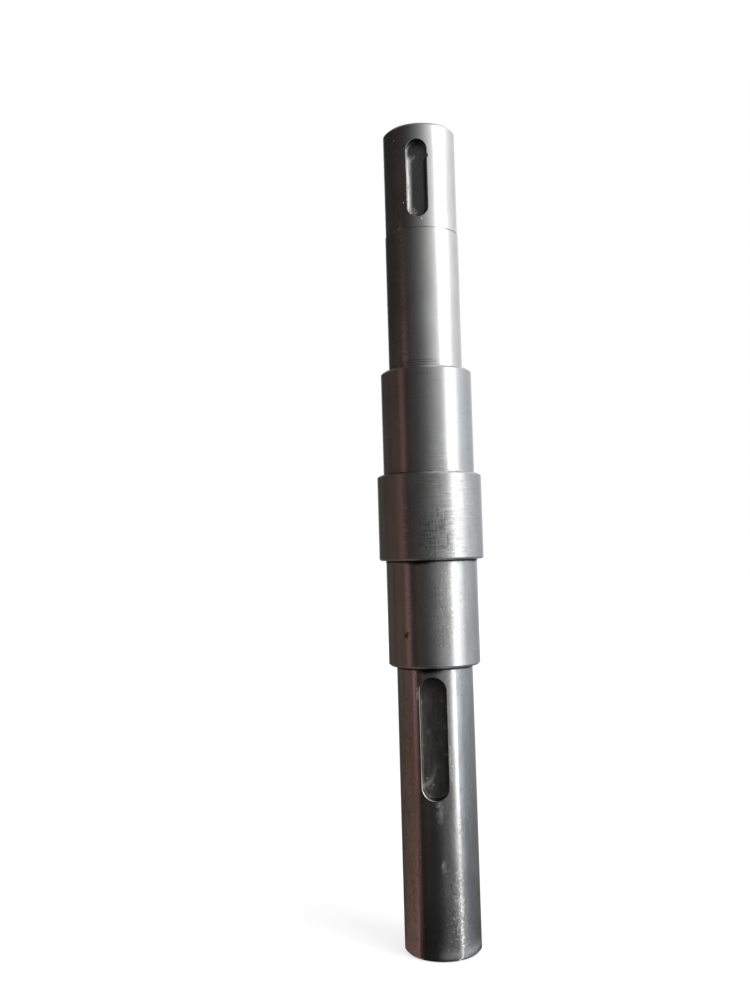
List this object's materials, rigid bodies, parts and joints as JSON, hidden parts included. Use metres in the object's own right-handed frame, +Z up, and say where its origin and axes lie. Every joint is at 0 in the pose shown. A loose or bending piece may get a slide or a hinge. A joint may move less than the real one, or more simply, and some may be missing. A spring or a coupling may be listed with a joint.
{
  "type": "stepped keyed drive shaft",
  "caption": "Stepped drive shaft turned from one steel bar, with ground bearing seats beside a central collar and milled keyways near both ends.",
  "frame": {"origin": "centre of the lower end face, which is the end of the long keyed land, where the shaft stands", "axes": "+Z up along the shaft's axis, towards the short keyed end; both keyways open towards -Y; +X to the right when looking at the keyways"},
  "size_m": [0.04, 0.04, 0.313],
  "materials": {
    "turned_steel": "turned and ground, satin, with fine marks round the shaft"
  },
  "bodies": {
    "root": {"shaft": "turned_steel"}
  },
  "joints": []
}
